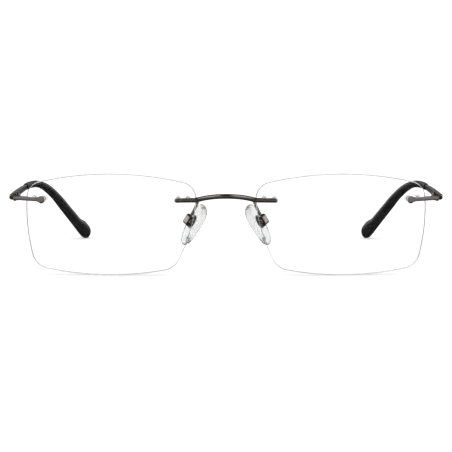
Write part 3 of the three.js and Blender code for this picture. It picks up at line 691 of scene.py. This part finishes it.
def plated_metal(name, dark, light, worn, rough):
    """Polished plating: cloudy colour, fine grain, rubbed edges."""
    material, tree, shader = new_material(name, Metallic=1.0, IOR=2.2)
    cloud = ramp(tree, noise(tree, 420, 3), (0.35, dark), (0.65, light))
    colour = mixed(tree, edge_wear(tree), cloud, worn)
    tree.links.new(colour, shader.inputs["Base Color"])
    low, high = rough
    grain = ramp(tree, noise(tree, 2600, 6, 0.65), (0.32, low), (0.68, high))
    tree.links.new(grain, shader.inputs["Roughness"])
    bump(tree, shader, noise(tree, 5200, 5, 0.6), 0.000006, 0.5)
    return material


def gunmetal():
    dark, light, worn = (0.27, 0.252, 0.236), (0.34, 0.318, 0.296), (0.46, 0.44, 0.42)
    return plated_metal("gunmetal_plating", dark, light, worn, (0.1, 0.19))


def screw_steel():
    dark, light, worn = (0.36, 0.35, 0.34), (0.46, 0.45, 0.44), (0.62, 0.61, 0.6)
    return plated_metal("turned_steel", dark, light, worn, (0.18, 0.34))


def core_metal():
    dark, light, worn = (0.02, 0.0195, 0.019), (0.036, 0.035, 0.034), (0.09, 0.086, 0.082)
    return plated_metal("dark_insert", dark, light, worn, (0.3, 0.45))


def black_tip():
    """Satin black acetate with faint mottling, micro-scratches and a thin polished skin."""
    material, tree, shader = new_material("black_acetate", Coat_Weight=0.35, Coat_Roughness=0.18, IOR=1.5)
    colour = ramp(tree, noise(tree, 260, 4), (0.35, (0.003, 0.003, 0.0033)), (0.65, (0.0075, 0.0072, 0.0075)))
    tree.links.new(colour, shader.inputs["Base Color"])
    scratches = ramp(tree, noise(tree, 900, 8, 0.7, (1, 0.12, 1), 0.6), (0.35, 0.27), (0.66, 0.34))
    tree.links.new(scratches, shader.inputs["Roughness"])
    bump(tree, shader, noise(tree, 1900, 6, 0.6), 0.000006, 0.3)
    return material


def lens_clear():
    """Clear lens with a trace of smudging. Its low IOR stands in for an anti-reflection coat."""
    material, tree, shader = new_material("clear_lens", Transmission_Weight=1.0, IOR=1.12)
    tint = ramp(tree, noise(tree, 35, 3), (0.3, (0.985, 0.99, 0.992)), (0.7, (1.0, 1.0, 1.0)))
    tree.links.new(tint, shader.inputs["Base Color"])
    smudge = ramp(tree, noise(tree, 90, 6, 0.6, (1, 1, 1), 1.2), (0.45, 0.0), (0.8, 0.03))
    tree.links.new(smudge, shader.inputs["Roughness"])
    return material


def lens_bevel():
    """The ground bevel: frosted, with fine grinding lines. Its grey is partly painted shade, standing in for
    the darkening that refraction gives the lens's edge.
    """
    material, tree, shader = new_material("ground_edge_and_painted_shade", Transmission_Weight=0.5, IOR=1.12)
    # Painted shade: this grey stands in for the darkening that refraction and shade give the edge.
    colour = ramp(tree, noise(tree, 500, 5), (0.35, (0.24, 0.242, 0.244)), (0.65, (0.34, 0.342, 0.344)))
    tree.links.new(colour, shader.inputs["Base Color"])
    grinding = ramp(tree, noise(tree, 2400, 5, 0.6), (0.3, 0.3), (0.7, 0.55))
    tree.links.new(grinding, shader.inputs["Roughness"])
    bump(tree, shader, noise(tree, 6000, 4, 0.6, (1, 8, 1)), 0.00002, 0.6)
    return material


def lens_rim():
    """The rim between the bevels: satin, almost clear, with fine polishing lines."""
    material, tree, shader = new_material("satin_rim", Transmission_Weight=0.85, IOR=1.12)
    colour = ramp(tree, noise(tree, 500, 5), (0.35, (0.86, 0.87, 0.875)), (0.65, (0.93, 0.935, 0.94)))
    tree.links.new(colour, shader.inputs["Base Color"])
    polish = ramp(tree, noise(tree, 2400, 5, 0.6), (0.3, 0.15), (0.7, 0.3))
    tree.links.new(polish, shader.inputs["Roughness"])
    bump(tree, shader, noise(tree, 6000, 4, 0.6, (1, 8, 1)), 0.00001, 0.4)
    return material


def clear_plastic():
    """Clear moulded plastic of the sleeves, faintly cloudy."""
    material, tree, shader = new_material("clear_sleeve", Transmission_Weight=0.95, IOR=1.47)
    colour = ramp(tree, noise(tree, 800, 4), (0.35, (0.86, 0.87, 0.88)), (0.65, (0.94, 0.945, 0.95)))
    tree.links.new(colour, shader.inputs["Base Color"])
    rough = ramp(tree, noise(tree, 1800, 5), (0.3, 0.08), (0.7, 0.22))
    tree.links.new(rough, shader.inputs["Roughness"])
    bump(tree, shader, noise(tree, 3000, 3), 0.000008, 0.4)
    return material


def silicone():
    """Clear soft silicone, slightly hazy, with a moulded skin."""
    material, tree, shader = new_material("clear_silicone", Transmission_Weight=0.88, IOR=1.36)
    haze = ramp(tree, noise(tree, 380, 4), (0.3, (0.74, 0.75, 0.74)), (0.7, (0.86, 0.865, 0.86)))
    tree.links.new(haze, shader.inputs["Base Color"])
    rough = ramp(tree, noise(tree, 1300, 6, 0.6), (0.3, 0.16), (0.7, 0.28))
    tree.links.new(rough, shader.inputs["Roughness"])
    bump(tree, shader, noise(tree, 1500, 5, 0.55), 0.00002, 0.4)
    return material


# --- Assembly ---


def build_pieces():
    metal, steel, insert = gunmetal(), screw_steel(), core_metal()
    sleeve, rubber = clear_plastic(), silicone()
    add_pair("lens", lens_mesh(), "front", [lens_clear(), lens_bevel(), lens_rim()], sharp=20)
    add_piece("bridge_fine", bridge_mesh(), ["bridge"], "front", [metal])
    add_pair("endpiece", endpiece_mesh(), "front", [metal])
    add_pair("pad_arm", pad_arm_mesh(), "front", [metal])
    add_pair("temple_arm", temple_arm_mesh(), "temple", [metal])
    add_pair("temple_tip", temple_tip_mesh(), "temple", [black_tip()])
    add_pair("nose_pad", nose_pad_mesh(), "pad", [rubber])
    add_softened("pad_box", "front", metal, 0.05, 5)
    add_softened("pad_screw", "front", steel, 0.04, 3)
    add_softened("pad_core", "pad", insert, 0.05, 4)
    add_softened("hinge_leaf_front", "front", metal, 0.045, 4)
    add_softened("hinge_leaf_temple", "temple", metal, 0.045, 4)
    add_softened("hinge_screw", "front", steel, 0.04, 3)
    for place in ("bridge", "endpiece"):
        add_softened(f"clear_sleeve_{place}", "front", sleeve, 0.06, 4)
        for number in (1, 2):
            add_softened(f"lens_pin_{place}_{number}", "front", metal, 0.035, 2)


# --- Studio and camera ---


def math_node(tree, operation, first, second):
    """The output of a Math node on two values, each a number or another node's output."""
    node = tree.nodes.new("ShaderNodeMath")
    node.operation = operation
    for i, value in enumerate((first, second)):
        if isinstance(value, bpy.types.NodeSocket):
            tree.links.new(value, node.inputs[i])
        else:
            node.inputs[i].default_value = value
    return node.outputs[0]


def in_a_reflection(tree):
    """1 in a shine, also in one behind a lens. 0 for what is seen directly or lights a matt surface."""
    path = tree.nodes.new("ShaderNodeLightPath")
    direct = math_node(tree, "LESS_THAN", path.outputs["Diffuse Depth"], 0.5)
    shone = math_node(tree, "GREATER_THAN", path.outputs["Glossy Depth"], 0.5)
    twice_through = math_node(tree, "GREATER_THAN", path.outputs["Transmission Depth"], 3.5)
    behind_lens = math_node(tree, "MULTIPLY", shone, twice_through)
    either = math_node(tree, "MAXIMUM", path.outputs["Is Reflection Ray"], behind_lens)
    return math_node(tree, "MULTIPLY", either, direct)


def make_floor():
    """A white surface that the glasses stand on. Shines see through it, to the darker studio."""
    half, sides = 6.0, 96
    ring = superellipse(sides, 2) * half
    vertices = np.column_stack((ring, np.zeros(sides)))
    mesh = new_mesh("floor", vertices, [tuple(range(sides))])
    floor = bpy.data.objects.new("floor", mesh)
    bpy.context.scene.collection.objects.link(floor)
    material, tree, shader = new_material("pale_floor", Roughness=0.9, Specular_IOR_Level=0.0)
    tone = ramp(tree, noise(tree, 3, 4), (0.3, 0.93), (0.7, 0.95))
    tree.links.new(tone, shader.inputs["Base Color"])
    unseen = math_node(tree, "SUBTRACT", 1.0, in_a_reflection(tree))
    tree.links.new(unseen, shader.inputs["Alpha"])
    mesh.materials.append(material)


# Levels of what is seen directly and of the studio that the shines see.
WHITE_LEVEL, STUDIO_LEVEL = 1.3, 0.05
# Soft panels that the shines see: azimuth and elevation from the front, radius, softness and level.
PANELS = [
    (28, 36, 6, 7, 2.6),
    (-28, 36, 6, 7, 2.6),
    (0, -12, 10, 30, 0.1),
    (46, 6, 14, 28, 0.47),
    (-46, 6, 14, 28, 0.47),
    (129, 19, 10, 12, 1.2),
    (-129, 19, 10, 12, 1.2),
    (180, 4, 10, 14, 0.15),
]


def make_world():
    """White all round. What shines sees a dark studio with soft panels."""
    world = bpy.data.worlds.new("studio")
    bpy.context.scene.world = world
    world.cycles.sampling_method = "NONE"
    world.use_nodes = True
    tree = world.node_tree
    background = tree.nodes["Background"]
    place = tree.nodes.new("ShaderNodeTexCoord")
    level = STUDIO_LEVEL
    for azimuth, elevation, radius, softness, brightness in PANELS:
        turn, rise = math.radians(azimuth), math.radians(elevation)
        product = tree.nodes.new("ShaderNodeVectorMath")
        product.operation = "DOT_PRODUCT"
        tree.links.new(place.outputs["Generated"], product.inputs[0])
        product.inputs[1].default_value = (
            math.sin(turn) * math.cos(rise),
            -math.cos(turn) * math.cos(rise),
            math.sin(rise),
        )
        panel = tree.nodes.new("ShaderNodeMapRange")
        panel.interpolation_type = "SMOOTHSTEP"
        tree.links.new(product.outputs["Value"], panel.inputs["Value"])
        panel.inputs["From Min"].default_value = math.cos(math.radians(radius + softness))
        panel.inputs["From Max"].default_value = math.cos(math.radians(radius))
        panel.inputs["To Max"].default_value = brightness
        level = math_node(tree, "ADD", panel.outputs["Result"], level)
    shine = in_a_reflection(tree)
    white = math_node(tree, "MULTIPLY", math_node(tree, "SUBTRACT", 1.0, shine), WHITE_LEVEL)
    seen = math_node(tree, "ADD", math_node(tree, "MULTIPLY", level, shine), white)
    background.inputs["Color"].default_value = (1, 1, 1, 1)
    tree.links.new(seen, background.inputs["Strength"])


def make_camera():
    """Well in front of the lenses, a little above them and looking slightly down."""
    distance, height, pitch = 850, 95.7, 5.37
    lens_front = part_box("lens_right")[0].y / MM + 1.7
    data = bpy.data.cameras.new("camera")
    data.sensor_width = 36
    data.lens = 215.9
    data.clip_end = 50
    camera = bpy.data.objects.new("camera", data)
    camera.location = Vector((0, lens_front - distance, height)) * MM
    camera.rotation_euler = (math.radians(90 - pitch), 0, 0)
    bpy.context.scene.collection.objects.link(camera)
    bpy.context.scene.camera = camera


build_pieces()
make_floor()
make_world()
make_camera()
bpy.context.scene.view_settings.view_transform = "Standard"
